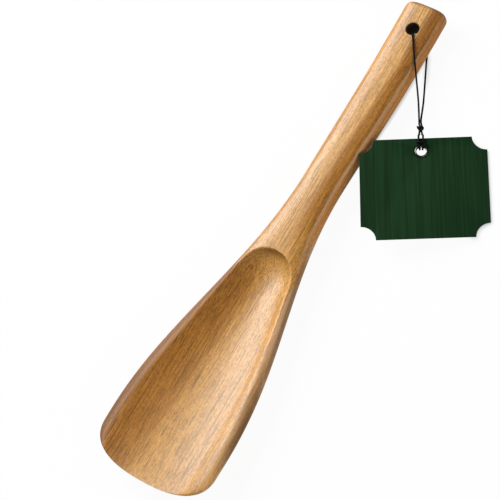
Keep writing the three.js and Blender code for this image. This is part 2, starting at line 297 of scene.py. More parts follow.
def section(y):
    blade = blade_share(y)
    front_z = front_level(y)
    back_z = back_level(y)
    ease = shoulder(TIP_EASE - y, 0, TIP_EASE, 2) * shoulder(y, LENGTH - END_EASE, LENGTH, 2.2)
    middle = 0.5 * (front_z + back_z)
    front_z = middle + (front_z - middle) * ease
    back_z = middle + (back_z - middle) * ease
    # The widest line is half-way down the handle, and close under the front of the blade.
    nose = max(0, 1 - y / (1.4 * TIP_ROUNDING)) ** 2
    front = (front_z - back_z) * (0.5 - 0.32 * blade + 0.22 * nose)
    # A higher power makes a flatter, squarer curve.
    powers = (3 + 1.5 * blade, 3 - 0.5 * blade)
    return half_width(y), front_z - front, front, front_z - front - back_z, powers


def surface(x, y, side):
    half, parting, front, back, powers = section(y)
    power = powers[0] if side > 0 else powers[1]
    rise = (1 - min(abs(x) / half, 1) ** power) ** (1 / power)
    return parting + (front if side > 0 else -back) * rise


print("the handle's middle is", round(surface(0, 250, 1) - surface(0, 250, -1), 1), "mm thick")

# %% Hollow and lip
LIP_EASE = 1.1


def lip_width(y):
    side = side_width(min(y, SCOOP_TURN))
    return side - SCOOP_RIM * (2 * side / BLADE_WIDTH) ** 2


def hollow(x, y):
    if y >= SCOOP_LENGTH - 0.02:
        return front_level(y) + 1.5 * math.hypot(x, y - SCOOP_LENGTH)
    half = lip_width(y) * shoulder(y, SCOOP_TURN, SCOOP_LENGTH, 2)
    fade = 0.3 + 0.7 * share_of(y, 0, SCOOP_SLOPE) ** 0.6
    depth = SCOOP_DEPTH * fade * shoulder(y, SCOOP_SLOPE, SCOOP_LENGTH, 2)
    return front_level(y) - depth * (1 - (abs(x) / half) ** 2.2)


def carved_front(x, y):
    top = surface(x, y, 1)
    low = hollow(x, y)
    overlap = max(LIP_EASE - abs(top - low), 0)
    carved = min(top, low) - overlap * overlap / (4 * LIP_EASE)
    return max(carved, surface(x, y, -1) + 0.05)


print("hollow is", round(front_level(115) - carved_front(0, 115), 1), "mm deep below its upper end")

# %% [markdown]
# ## Rings of points
# A ring runs along the front from the right edge to the left, and home along the back. Its points
# are close together at the edges and along the lip, where the wood turns most. The stations along
# the board are close together at the tip, at the round end of the hollow and at the end of the
# handle.

# %% Points round a ring
EDGE_POINTS = 30
FLOOR_POINTS = 100
BACK_POINTS = 90


def front_places(y):
    half, _, _, _, powers = section(y)
    rim = min(lip_width(y), 0.92 * half)
    turn = math.acos((rim / half) ** (powers[0] / 2))
    cosines = [math.cos(turn * (k / EDGE_POINTS) ** 1.6) for k in range(EDGE_POINTS)]
    edge = [half * cosine ** (2 / powers[0]) for cosine in cosines]
    steps = [1 - 2 * k / FLOOR_POINTS for k in range(FLOOR_POINTS + 1)]
    floor_line = [rim * (u + 0.6 * math.sin(math.pi * u) / math.pi) for u in steps]
    return edge + floor_line + [-x for x in reversed(edge)]


def ring(y):
    half, parting, _, back, powers = section(y)
    points = [(x, y, carved_front(x, y)) for x in front_places(y)]
    for k in range(1, BACK_POINTS):
        angle = math.pi * (0.5 - 0.5 * math.cos(math.pi * k / BACK_POINTS))
        x = -half * math.copysign(abs(math.cos(angle)) ** (2 / powers[1]), math.cos(angle))
        z = parting - back * math.sin(angle) ** (2 / powers[1])
        points.append((x, y, max(z, 0)))
    return points


AROUND = len(ring(50))
print("each ring has", AROUND, "points")

# %% Stations along the board
END_GAP = 0.03
END_FROM = 325.5
END_STEPS = 22
stations = [END_GAP, 0.12, 0.25, 0.42, 0.64, 0.9, 1.2, 1.5, 1.9, 2.4, 3, 3.7, 4.5]
runs = ((5, 46, 1), (46, 120, 1.3), (120, 158, 0.42), (158, 300, 1.6), (300, END_FROM, 0.9))
for start, end, step in runs:
    count = round((end - start) / step)
    stations += [start + (end - start) * k / count for k in range(count)]
end_run = LENGTH - END_GAP - END_FROM
quarter_turn = [0.5 * math.pi * k / END_STEPS for k in range(END_STEPS + 1)]
stations += [END_FROM + end_run * math.sin(angle) for angle in quarter_turn]
print(len(stations), "stations from", stations[0], "to", stations[-1], "mm")

# %% [markdown]
# ## Carve the board
# A cylinder of that many sides is cut into rings with an edge-ring subdivide, as a turner marks out
# a blank. Each ring is then moved to its own section. The two open ends are small by then, and are
# closed with one face each.

# %% Mark out a round blank
bpy.ops.object.select_all(action="DESELECT")
bpy.ops.mesh.primitive_cylinder_add(vertices=AROUND, radius=0.5, depth=1, end_fill_type="NOTHING")
spatula = bpy.context.object
spatula.name = "spatula_wood"
bpy.ops.object.mode_set(mode="EDIT")
bpy.ops.mesh.select_all(action="DESELECT")
bpy.ops.mesh.select_mode(type="EDGE")
blank = bmesh.from_edit_mesh(spatula.data)
for edge in blank.edges:
    edge.select_set(abs(edge.verts[0].co.z - edge.verts[1].co.z) > 0.5)
bpy.ops.mesh.subdivide_edgering(number_cuts=len(stations) - 2, interpolation="LINEAR")
print("blank has", len(bmesh.from_edit_mesh(spatula.data).verts), "points")

# %% Move each ring to its section
rings = [ring(y) for y in stations]
blank = bmesh.from_edit_mesh(spatula.data)
for point in blank.verts:
    row = round((point.co.z + 0.5) * (len(stations) - 1))
    turn = math.atan2(point.co.y, point.co.x) / (2 * math.pi)
    column = round(turn * AROUND) % AROUND
    x, y, z = rings[row][column]
    point.co = Vector((x, y - LENGTH / 2, z)) * MM
bmesh.update_edit_mesh(spatula.data)
bpy.ops.mesh.select_all(action="DESELECT")
bpy.ops.mesh.select_non_manifold()
bpy.ops.mesh.edge_face_add()
bpy.ops.mesh.select_all(action="SELECT")
bpy.ops.mesh.normals_make_consistent(inside=False)
bpy.ops.object.mode_set(mode="OBJECT")
print("carved", len(spatula.data.polygons), "faces")

# %% [markdown]
# ## Drill the hanging hole
# The hole is drilled right through and its edges are eased with a countersink. A cylinder is the
# drill: its ends are extruded and widened into the two countersinks, and a Boolean takes it out of
# the wood. The drill is turned by half a side, so that none of its corners falls on a point of the
# rings.

# %% Make the drill
EASED_FRONT = 0.5
EASED_BACK = 0.15
COUNTERSINK = 2.6
HOLE_SIDES = 96
hole_front = front_level(HOLE_Y)
hole_back = back_level(HOLE_Y)
bpy.ops.object.select_all(action="DESELECT")
drill_top = hole_front - EASED_FRONT
drill_low = hole_back + EASED_BACK
middle = Vector((0, HOLE_Y - LENGTH / 2, 0.5 * (drill_top + drill_low))) * MM
depth = (drill_top - drill_low) * MM
bpy.ops.mesh.primitive_cylinder_add(
    vertices=HOLE_SIDES, radius=HOLE_RADIUS * MM, depth=depth, location=middle,
    rotation=(0, 0, math.pi / HOLE_SIDES))
drill = bpy.context.object
bpy.ops.object.transform_apply(location=True, rotation=True, scale=True)
bpy.ops.object.mode_set(mode="EDIT")
bpy.ops.mesh.select_mode(type="FACE")
for side in (1, -1):
    bpy.ops.mesh.select_all(action="DESELECT")
    for face in bmesh.from_edit_mesh(drill.data).faces:
        face.select_set(face.normal.z * side > 0.9)
    outwards = (0, 0, side * COUNTERSINK * MM)
    bpy.ops.mesh.extrude_region_move(TRANSFORM_OT_translate={"value": outwards})
    wider = (HOLE_RADIUS + COUNTERSINK) / HOLE_RADIUS
    bpy.ops.transform.resize(value=(wider, wider, 1), center_override=middle)
bpy.ops.object.mode_set(mode="OBJECT")
print("drill has", len(drill.data.polygons), "faces")

# %% Drill the hole
cut = spatula.modifiers.new("hanging_hole", "BOOLEAN")
cut.object = drill
cut.solver = "EXACT"
bpy.context.view_layer.objects.active = spatula
bpy.ops.object.modifier_apply(modifier=cut.name)
bpy.data.objects.remove(drill)
bpy.ops.object.select_all(action="DESELECT")
spatula.select_set(True)
bpy.ops.object.shade_smooth_by_angle(angle=math.radians(35))
print("drilled, now", len(spatula.data.polygons), "faces")

# %% [markdown]
# ## Marks of the making, and painted light and shade
# Some marks on the wood follow its shape and not its grain, and several of them are painted light
# and shade rather than marks in the wood. Each one is a function that weighs a place on the wood
# from 0 to 1. A place is given by its distance from the middle line and from the tip, in
# millimetres, and by the direction that the surface faces. A mark fades in and out between two such
# distances, or between two shares of the half width.

# %% Fades
LIP_FADE = 0.7
EDGE_FADE = 0.6


def eased(value, start, end):
    share = share_of(value, start, end)
    return share * share * (3 - 2 * share)


def between(value, rising, falling):
    return eased(value, *rising) * (1 - eased(value, *falling))


def on_handle(y):
    return eased(y, SCOOP_TURN, 185)


def near_end(y):
    return eased(y, 268, 305)


def past_lip(x, y):
    wider_left = 0.05 * eased(y, 45, 95) if x < 0 else 0
    lip = (0.96 - wider_left) * lip_width(y)
    return eased(abs(x), lip, lip + LIP_FADE)


print("80 mm from the tip the lip weighs", [round(past_lip(x, 80), 2) for x in (0, 29, 31)])

# %% [markdown]
# Sandpaper has crossed the fibres on the lips of the blade, which are paler and matt. The lip is
# palest on the right, towards the neck, and that extra paleness is a painted highlight. A pale, matt
# line along the right edge of the handle is a painted highlight. The outside of the left lip and the
# sides of the handle are matt as well, and are darkened with painted shade.

# %% Marks from sanding, with painted highlight and painted shade
# Sanded, paler, matt lips. The stronger weight on the right lip towards the neck is also a painted
# highlight, and the edge term is a painted highlight along the handle's right edge.
def sanded_lip_and_highlight(x, y, facing):
    wear_and_highlight = 0.35 + 0.65 * eased(y, 65, 115) if x > 0 else 0.1 + 0.45 * eased(y, 20, 90)
    lip = past_lip(x, y) * eased(facing.z, 0.1, 0.55) * (1 - on_handle(y)) * wear_and_highlight
    edge = between(x / side_width(y), (0.84, 0.87), (0.92, 0.96)) * on_handle(y)
    return lip + (0.65 - 0.35 * near_end(y)) * edge


# Painted shade: darkens the outside of the left lip, as if less light reached it.
def shaded_left_lip(x, y, facing):
    faces_left = eased(-facing.x, -0.3, 0.25) if x < 0 else 0
    return faces_left * past_lip(x, y)


# Painted shade: darkens and warms the rounded sides of the handle.
def shaded_handle_side(x, y, facing):
    edge = 0.86 * side_width(y)
    return eased(abs(x), edge, edge + EDGE_FADE) * eased(facing.z, -0.9, -0.6) * on_handle(y)


upwards = Vector((0, 0, 1))
# The value printed here is the painted highlight along the handle's right edge.
print("the neck's right edge is sanded", round(sanded_lip_and_highlight(0.9 * side_width(200), 200, upwards), 2))

# %% [markdown]
# The left of the blade is darker and redder, fading out towards the neck. A band down the right of
# the handle's front, and the right of the handle's end, are darkened with painted shade where the
# wood turns away from the lamp. The right side of the blade is darkened with painted shade too, and
# inside the right wall of the hollow a yellower strip is painted light, where that wall faces the
# lamp. Wood cut across the fibres, at the tip and at the handle's end, drinks more oil and is darker,
# and at the handle's end this darkening is also painted shade along the rounding. The wall of the
# hole and its countersink are near black: the drill's scorch, and painted shade in the hole.

# %% Marks in the wood, and painted shade and light
# Darker and redder towards the left of the blade, fading out towards the neck.
def darker_left(x, y, facing):
    starts = 5 + 10 * share_of(y, 20, 120)
    return (1 - eased(x, starts - 32, starts - 4)) * (1 - eased(y, 125, 165))


# Painted shade: a darker band down the right of the handle's front, where it curves from the lamp.
def shaded_band(x, y, facing):
    starts = 2 + 2.5 * share_of(y, 215, 290)
    in_band = eased(x, starts - 2.5, starts + 3) * (1 - eased(x / side_width(y), 0.82, 0.87))
    return in_band * eased(y, 145, 185)


# Painted shade on the right of the handle's end.
def shaded_end_corner(x, y, facing):
    return near_end(y) * eased(x / side_width(y), 0.2, 0.5)


# Painted shade on the right side of the blade and along its right rim.
def shaded_blade_side(x, y, facing):
    across = x / side_width(y)
    outside = 0.4 * eased(across, 0.82, 0.87) + 0.6 * eased(across, 0.9, 0.95)
    side = outside * between(y, (12, 45), (55, 115))
    rim = 0.75 * eased(across, 0.95, 0.99) * between(y, (55, 95), (150, 175))
    return max(side, rim) * eased(facing.z, -0.6, -0.2)


# Painted light: a yellower strip inside the hollow's right wall, where that wall faces the lamp.
def lit_wall_tint(x, y, facing):
    return between(x / lip_width(y), (0.66, 0.84), (0.88, 1.0)) * (1 - on_handle(y))


# Darker end grain, and at the handle's end also painted shade along the rounding.
def end_grain_and_shade(x, y, facing):
    outside_hole = math.hypot(x, y - HOLE_Y) > 2 * HOLE_RADIUS
    strength = 1.0 if y > LENGTH / 2 else 0.6
    return strength * eased(abs(facing.y), 0.3, 0.8) * outside_hole


# The drill's scorch, and painted shade: the hole's wall and countersink are made near black.
def scorched_and_shaded(x, y, facing):
    return 1 - eased(math.hypot(x, y - HOLE_Y), HOLE_RADIUS + 0.1, HOLE_RADIUS + 0.5)


print("the wall of the hole is scorched", scorched_and_shaded(HOLE_RADIUS, HOLE_Y, upwards))

# %% Keep the marks on the mesh
marks = [sanded_lip_and_highlight, shaded_handle_side, darker_left, shaded_band, shaded_end_corner]
marks += [shaded_left_lip, shaded_blade_side, lit_wall_tint, end_grain_and_shade, scorched_and_shaded]
places = []
for point in spatula.data.vertices:
    x, y, _ = point.co / MM
    places.append((x, y + LENGTH / 2, point.normal.copy()))
for weigh in marks:
    numbers = [weigh(*place) for place in places]
    kept = spatula.data.attributes.new(weigh.__name__, "FLOAT", "POINT")
    kept.data.foreach_set("value", numbers)
    print(weigh.__name__, "mean", round(sum(numbers) / len(numbers), 3))

# %% [markdown]
# ## The grain of acacia
# Acacia is a golden-brown hardwood with straight grain. Growth layers some millimetres apart run
# the length of the board, and fine fibres, dark lines and broad streaks lie along them. All of
# these are noise that is stretched along the board. The open pores are the cells of a stretched
# Voronoi pattern, and show as short dark dashes. They are drawn about half a millimetre wide, a
# little coarser than real pores, so that they still show in a small picture. A slow noise makes all
# the lines wander, and the layers are tilted because the board was sawn at a slant to them.

# %% Grain patterns
WANDER_WIDTH = 70
WANDER = 3.5
LAYER_WIDTH = 9
PORE_WIDTH = 0.6
PORE_STRETCH = 4
SAWN = (0, math.radians(28), math.radians(1.5))
tree, acacia = new_material("oiled_acacia")
place = add(tree, "ShaderNodeTexCoord").outputs["Object"]
slow_inputs = {"Vector": place, "Scale": 1 / (WANDER_WIDTH * MM), "Detail": 1.0}
slow = add(tree, "ShaderNodeTexNoise", slow_inputs).outputs["Color"]
bend = add(tree, "ShaderNodeVectorMath", {0: slow, 1: (0.5, 0.5, 0.5)}, operation="SUBTRACT").outputs[0]
reach = (WANDER * MM, 0, WANDER * MM)
bend = add(tree, "ShaderNodeVectorMath", {0: bend, 1: reach}, operation="MULTIPLY").outputs[0]
grain = add(tree, "ShaderNodeVectorMath", {0: place, 1: bend}, operation="ADD").outputs[0]
tilted = add(tree, "ShaderNodeMapping", {"Vector": grain, "Rotation": SAWN})
across = add(tree, "ShaderNodeSeparateXYZ", {0: tilted.outputs[0]}).outputs["X"]
layer_inputs = {"W": across, "Scale": 1 / (LAYER_WIDTH * MM), "Detail": 5.0}
layers = add(tree, "ShaderNodeTexNoise", layer_inputs, noise_dimensions="1D").outputs["Fac"]


def drawn_out(stretch):
    return add(tree, "ShaderNodeMapping", {"Vector": grain, "Scale": (1, 1 / stretch, 1)}).outputs[0]


def along_grain(stretch, width, detail):
    inputs = {"Vector": drawn_out(stretch), "Scale": 1 / (width * MM), "Detail": detail}
    return add(tree, "ShaderNodeTexNoise", inputs).outputs["Fac"]


fibres = along_grain(stretch=40, width=0.45, detail=1.0)
pore_inputs = {"Vector": drawn_out(PORE_STRETCH), "Scale": 1 / (PORE_WIDTH * MM)}
pores = add(tree, "ShaderNodeTexVoronoi", pore_inputs).outputs["Distance"]
lines = along_grain(stretch=120, width=0.5, detail=0.0)
streaks = along_grain(stretch=34, width=2.2, detail=1.0)
print("grain patterns", len(tree.nodes), "nodes")

# %% [markdown]
# ## The colours of the oiled wood
# The growth layers choose between a darker and a paler brown. Streaks, lines and fibres shade that,
# and the pores stain it dark. The marks come last, several of them painted shade and light: some are
# filters that leave the grain to be seen, and some cover it with a colour of their own.

# %% Colours of the grain
PORE_DEPTH = 0.5
tone = two_tones(tree, layers, "#C48E46", "#D5A054", start=0.25, end=0.75)
streak_shade = in_range(tree, streaks, 0.3, 0.7, low=0.97, high=1.04)
line_shade = in_range(tree, lines, 0.57, 0.7, low=1.05, high=0.64)
shade = reckon(tree, "MULTIPLY", line_shade, streak_shade)
fleck_mask = in_range(tree, fibres, 0.3, 0.7)
fleck = mix_colours(tree, fleck_mask, (0.8, 0.75, 0.68, 1), (1.3, 1.33, 1.4, 1))
wood = add(tree, "ShaderNodeVectorMath", {0: tone, "Scale": shade}, operation="SCALE").outputs[0]
wood = add(tree, "ShaderNodeVectorMath", {0: wood, 1: fleck}, operation="MULTIPLY").outputs[0]
pore_mask = in_range(tree, pores, 0.52, 0.18, high=PORE_DEPTH)
wood = mix_colours(tree, pore_mask, wood, colour("#683C12"))
print("plain grain has", len(tree.nodes), "nodes")

# %% Colours of the marks, painted shade and light among them
def mark(name, strength):
    number = add(tree, "ShaderNodeAttribute", attribute_name=name).outputs["Fac"]
    return reckon(tree, "MULTIPLY", number, strength)


wood_tints = [
    # Darker and redder on the left of the blade.
    ("darker_left", 1.0, (0.64, 0.52, 0.35, 1), "MULTIPLY"),
    # Painted shade: a band down the right of the handle's front.
    ("shaded_band", 1.0, (0.71, 0.59, 0.43, 1), "MULTIPLY"),
    # Painted light: yellower where the hollow's right wall faces the lamp.
    ("lit_wall_tint", 1.0, (1.06, 0.98, 0.6, 1), "MULTIPLY"),
    # Painted shade: darker, warmer sides of the handle.
    ("shaded_handle_side", 1.0, (1.02, 0.81, 0.54, 1), "MULTIPLY"),
    # Painted shade on the right of the handle's end.
    ("shaded_end_corner", 1.0, (0.79, 0.75, 0.74, 1), "MULTIPLY"),
    # Pale sanded lips, with painted highlights on the right lip and along the handle's right edge.
    ("sanded_lip_and_highlight", 0.75, colour("#E2B48A"), "MIX"),
    # Painted shade on the right side and rim of the blade.
    ("shaded_blade_side", 0.75, colour("#5A3614"), "MIX"),
    # Painted shade on the outside of the left lip.
    ("shaded_left_lip", 1.0, (0.58, 0.5, 0.44, 1), "MULTIPLY"),
    # Darker end grain, and painted shade along the rounding of the handle's end.
    ("end_grain_and_shade", 0.85, colour("#54331A"), "MIX"),
    # The drill's scorch, and painted shade inside the hole.
    ("scorched_and_shaded", 0.95, colour("#160D07"), "MIX"),
]
for name, strength, tint, blend_type in wood_tints:
    wood = mix_colours(tree, mark(name, strength), wood, tint, blend_type)
print("stained wood has", len(tree.nodes), "nodes")

# %% [markdown]
# Oil leaves a satin sheen. The pores are a little rougher and lie deeper, and each mark that is
# matt sets a least roughness of its own.

# %% Oiled acacia finish
rough = in_range(tree, pore_mask, 0.0, PORE_DEPTH, low=0.31, high=0.4)
matt = {"sanded_lip_and_highlight": 0.5, "lit_wall_tint": 0.45, "shaded_handle_side": 0.65}
matt |= {"shaded_blade_side": 0.8, "shaded_left_lip": 0.75, "scorched_and_shaded": 0.95}
for name, least in matt.items():
    rough = reckon(tree, "MAXIMUM", rough, mark(name, least))
height = reckon(tree, "MULTIPLY_ADD", pore_mask, -1.2, fibres)
relief = add(tree, "ShaderNodeBump", {"Height": height, "Strength": 0.2, "Distance": 0.15 * MM})
oiled = {"Base Color": wood, "Roughness": rough, "Normal": relief.outputs[0]}
oil = add(tree, "ShaderNodeBsdfPrincipled", {**oiled, "IOR": 1.5, "Specular IOR Level": 0.52})
add(tree, "ShaderNodeOutputMaterial", {"Surface": oil.outputs[0]})
spatula.data.materials.clear()
spatula.data.materials.append(acacia)
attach(spatula, "spatula")
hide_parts("spatula_body")
print("acacia has", len(tree.nodes), "nodes")

# %% [markdown]
# ## Where the tag lies
# The tag lies beside the handle with its far edge on the table and its near edge on the handle. Its
# own frame has its origin at the knot, +X to the tag's right and +Y from the tag to the knot.

# %% The tag's own frame
CORD_RADIUS = 0.5
KNOT_REACH = 63
KNOT_TURN = math.radians(57.07)
out_x = math.cos(KNOT_TURN)
out_y = -math.sin(KNOT_TURN)
knot_x = KNOT_REACH * out_x
knot_y = HOLE_Y + KNOT_REACH * out_y
TAG_LEAN = 0.186
TAG_TURN = math.radians(31.8)
TAG_WIDTH = 74.4
TAG_HEIGHT = 63.6
TAG_THICKNESS = 0.9
TAG_TOP = -6.45
TAG_MIDDLE = 1.0
EYE_Y = TAG_TOP - 8.4
GAP = 0.3
tag_right = TAG_MIDDLE + 0.5 * TAG_WIDTH
knot_z = GAP + 0.5 * TAG_THICKNESS + tag_right * math.sin(TAG_LEAN)
tag_turned = Matrix.Rotation(TAG_TURN, 4, "Z") @ Matrix.Rotation(TAG_LEAN, 4, "Y")
tag_place = Matrix.Translation(Vector((knot_x, knot_y - LENGTH / 2, knot_z)) * MM) @ tag_turned
print("knot at", [round(v, 4) for v in tag_place.translation])

# %% [markdown]
# ## Twisted thread
# The cord is a waxed thread of three plies. Its section is a soft trefoil, and the trefoil turns as
# it runs along the route, which shows as the slanting ridges of a twisted cord. A curve with that
# section as its bevel, and with more and more tilt from point to point, does this, and is then made
# a mesh.

# %% Smooth routes
def smooth_route(points, step):
    """Points about one step apart on a centripetal Catmull-Rom curve through the given points."""
    ends = [2 * Vector(points[0]) - Vector(points[1])]
    line = ends + [Vector(p) for p in points] + [2 * Vector(points[-1]) - Vector(points[-2])]
    route = []
    for a, b, c, d in zip(line, line[1:], line[2:], line[3:]):
        # The places of b, c and d on the curve's own scale, which starts at a.
        t1 = (b - a).length ** 0.5
        t2 = t1 + (c - b).length ** 0.5
        t3 = t2 + (d - c).length ** 0.5
        count = max(2, round((c - b).length / step))
        for k in range(count):
            t = t1 + (t2 - t1) * k / count
            ab = a.lerp(b, t / t1)
            bc = b.lerp(c, (t - t1) / (t2 - t1))
            cd = c.lerp(d, (t - t2) / (t3 - t2))
            early = ab.lerp(bc, t / t2)
            late = bc.lerp(cd, (t - t1) / (t3 - t1))
            route.append(early.lerp(late, (t - t1) / (t2 - t1)))
    return route + [line[-2]]


def length_of(route):
    return sum((b - a).length for a, b in zip(route, route[1:]))


test_route = smooth_route([(0, 0, 0), (5, 0, 0), (10, 0, 0)], 0.5)
print("a test route of 10 mm measures", round(length_of(test_route), 2))

# %% Section of three plies
THREAD_RADIUS = 0.6
PLY_POINTS = 18
bpy.ops.object.select_all(action="DESELECT")
bpy.ops.curve.primitive_bezier_circle_add(radius=THREAD_RADIUS * MM)
ply_section = bpy.context.object
ply_section.name = "ply_section"
ply_section.data.splines.clear()
trefoil = ply_section.data.splines.new("POLY")
trefoil.points.add(PLY_POINTS - 1)
for k, point in enumerate(trefoil.points):
    angle = 2 * math.pi * k / PLY_POINTS
    reach = THREAD_RADIUS * MM * (0.94 + 0.06 * math.cos(3 * angle))
    point.co = (reach * math.cos(angle), reach * math.sin(angle), 0, 1)
trefoil.use_cyclic_u = True
print("ply section has", len(trefoil.points), "points")

# %% Twist the section along a route
PLY_LAY = 2.4


def twisted_cord(name, route, closed=False):
    line = bpy.data.curves.new(name, "CURVE")
    line.dimensions = "3D"
    line.bevel_mode = "OBJECT"
    line.bevel_object = ply_section
    line.use_fill_caps = not closed
    spline = line.splines.new("POLY")
    spline.points.add(len(route) - 1)
    spline.use_cyclic_u = closed
    along = 0
    for k, (point, at) in enumerate(zip(spline.points, route)):
        along += (at - route[k - 1]).length if k else 0
        point.co = (*at, 1)
        point.tilt = 2 * math.pi * along / (PLY_LAY * MM)
    made = bpy.data.objects.new(name, line)
    bpy.context.scene.collection.objects.link(made)
    bpy.ops.object.select_all(action="DESELECT")
    made.select_set(True)
    bpy.context.view_layer.objects.active = made
    bpy.ops.object.convert(target="MESH")
    made = bpy.context.object
    made.name = name
    bpy.ops.object.mode_set(mode="EDIT")
    bpy.ops.mesh.select_all(action="SELECT")
    bpy.ops.mesh.remove_doubles(threshold=0.001 * MM)
    bpy.ops.mesh.normals_make_consistent(inside=False)
    bpy.ops.object.mode_set(mode="OBJECT")
    bpy.ops.object.shade_smooth()
    made.data.materials.clear()
    return made


print("the plies turn once in", PLY_LAY, "mm")

# %% [markdown]
# ## Black waxed thread
# Waxed polyester is nearly black, with a dull shine on the crowns of the plies. A fine noise gives
# single fibres that catch the light.

# %% Waxed thread finish
tree, thread = new_material("black_waxed_thread")
place = add(tree, "ShaderNodeTexCoord").outputs["Object"]
fine = {"Vector": place, "Scale": 1 / (0.25 * MM), "Detail": 2.0}
lint = add(tree, "ShaderNodeTexNoise", fine).outputs["Fac"]
black = two_tones(tree, lint, "#070707", "#1B1B1B")
relief = add(tree, "ShaderNodeBump", {"Height": lint, "Strength": 0.4, "Distance": 0.05 * MM})
waxed = {"Base Color": black, "Normal": relief.outputs[0], "Roughness": 0.6}
wax = add(tree, "ShaderNodeBsdfPrincipled", {**waxed, "Specular IOR Level": 0.08})
add(tree, "ShaderNodeOutputMaterial", {"Surface": wax.outputs[0]})
print("thread finish", thread.name)

# %% [markdown]
# ## The loop through the hole
# The thread comes up from the knot, lies over the front of the handle, dives through the hole and
# comes back under the handle to the knot. The route follows the wood half a thread above it.

# %% Where the loop touches the wood
LIFT = CORD_RADIUS + 0.28
IN_HOLE = HOLE_RADIUS - LIFT - 0.05


def on_front(reach):
    x = reach * out_x
    y = HOLE_Y + reach * out_y
    return (x, y, surface(x, y, 1) + LIFT)


def towards(a, b, along, sag):
    return tuple(p + (q - p) * along - (sag if k == 2 else 0) for k, (p, q) in enumerate(zip(a, b)))


edge_reach = 0.36 * HANDLE_END_WIDTH / out_x
at_edge = on_front(edge_reach)
before_edge = on_front(edge_reach * 2.6 / 3.3)
knot_top = (knot_x - 2.7 * out_x, knot_y - 2.7 * out_y, knot_z)
knot_side = (knot_top[0] + 0.62, knot_top[1] + 0.4, knot_z)
under = 0.5 * max(surface(0, HOLE_Y - HOLE_RADIUS, -1), 2 * LIFT)
right_edge = side_width(HOLE_Y)
edge_exit = (0.92 * right_edge, HOLE_Y - 2.65 * HOLE_RADIUS, LIFT + 0.35)
edge_way = Vector((knot_side[0] - edge_exit[0], knot_side[1] - edge_exit[1], 0)).normalized()
print("thread leaves the wood at", [round(v, 1) for v in edge_exit], "mm")

# %% Route of the loop
core = Vector((knot_x, knot_y, knot_z))


def beside(reach, side):
    return (knot_x - reach * out_x - side * out_y, knot_y - reach * out_y + side * out_x, knot_z)


loop_points = [
    core + Vector((-0.35, 0.9, 0.2)),
    (knot_top[0] - 0.45, knot_top[1] - 0.3, knot_top[2]),
    beside(4.4, -0.52),
    towards(at_edge, knot_top, 0.66, 0.7),
    towards(at_edge, knot_top, 0.35, 0.6),
    at_edge,
    before_edge,
    on_front(HOLE_RADIUS + 2.8),
    ((IN_HOLE + 1.1) * out_x, HOLE_Y + (IN_HOLE + 1.1) * out_y, hole_front + 0.78),
    ((IN_HOLE + 0.2) * out_x, HOLE_Y + (IN_HOLE + 0.2) * out_y, hole_front - 0.15),
    (IN_HOLE * out_x, HOLE_Y + IN_HOLE * out_y, hole_front - 2.4),
    (IN_HOLE * out_x, HOLE_Y + IN_HOLE * out_y, 0.5 * (hole_front + hole_back)),
    (IN_HOLE * out_x, HOLE_Y + IN_HOLE * out_y, hole_back + 2.6),
    ((IN_HOLE + 0.8) * out_x, HOLE_Y + (IN_HOLE + 0.6) * out_y, under + 0.55),
    (0.47 * right_edge, HOLE_Y - HOLE_RADIUS, under),
    (edge_exit[0] - 3.6 * edge_way.x, edge_exit[1] - 3.6 * edge_way.y, under),
    edge_exit,
    towards(edge_exit, knot_side, 0.33, 0.5),
    towards(edge_exit, knot_side, 0.66, 0.5),
    beside(4.4, 0.52),
    knot_side,
    core + Vector((0.5, 0.8, -0.2)),
]
loop_route = [Vector((x, y - LENGTH / 2, z)) * MM for x, y, z in smooth_route(loop_points, 0.3)]
print("loop is", round(length_of(loop_route) / MM), "mm long")

# %% Make the loop
loop = twisted_cord("cord_loop", loop_route)
loop.data.materials.append(thread)
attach(loop, "cord")
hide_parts("cord_upper_loop")
print("loop has", len(loop.data.polygons), "faces")

# %% [markdown]
# ## The knot
# Both ends of the loop are tied in one small overhand knot, drawn tight, with its two short ends
# standing out like ears. An overhand knot whose ends are joined is a trefoil knot, so its route
# comes from the formula of that curve.

# %% Tie the knot
KNOT_SIZE = 0.54
KNOT_POINTS = 96


def knot_point(turn):
    x = math.sin(turn) + 2 * math.sin(2 * turn)
    y = math.cos(turn) - 2 * math.cos(2 * turn)
    z = -math.sin(3 * turn)
    return tag_place @ (Vector((x, y, 1.15 * z)) * KNOT_SIZE * MM)


knot_route = [knot_point(2 * math.pi * k / KNOT_POINTS) for k in range(KNOT_POINTS)]
knot = twisted_cord("cord_knot_tied", knot_route, closed=True)
ears = []
left_ear = [(-0.4, 0.2, 0.3), (-1.1, 0.7, 0.7), (-1.7, 0.9, 0.8), (-2.0, 0.9, 0.7)]
right_ear = [(0.4, -0.2, 0.3), (1.1, -0.5, 0.8), (1.75, -0.7, 0.7)]
for ear_points in (left_ear, right_ear):
    ear_route = [tag_place @ (p * MM) for p in smooth_route(ear_points, 0.2)]
    ears.append(twisted_cord("ear", ear_route))
bpy.ops.object.select_all(action="DESELECT")
for made in (*ears, knot):
    made.select_set(True)
bpy.context.view_layer.objects.active = knot
bpy.ops.object.join()
knot.data.materials.clear()
knot.data.materials.append(thread)
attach(knot, "cord")
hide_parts("cord_knot")
thread_facts = {"diameter": 2 * THREAD_RADIUS * MM, "far_end": "knot"}
thread_facts |= {"stiffness": "limp", "lay": "loose"}
print("knot is", [round(v / MM, 1) for v in knot.dimensions], "mm")

# %% [markdown]
# ## The hitch on the tag
# Below the knot the doubled thread goes down through the eyelet and comes up behind the tag. Its
# bight folds over the top edge, slips under both legs and crosses over them just above the eyelet:
# a lark's head hitch. Only one side is written down, because the other is its mirror image.

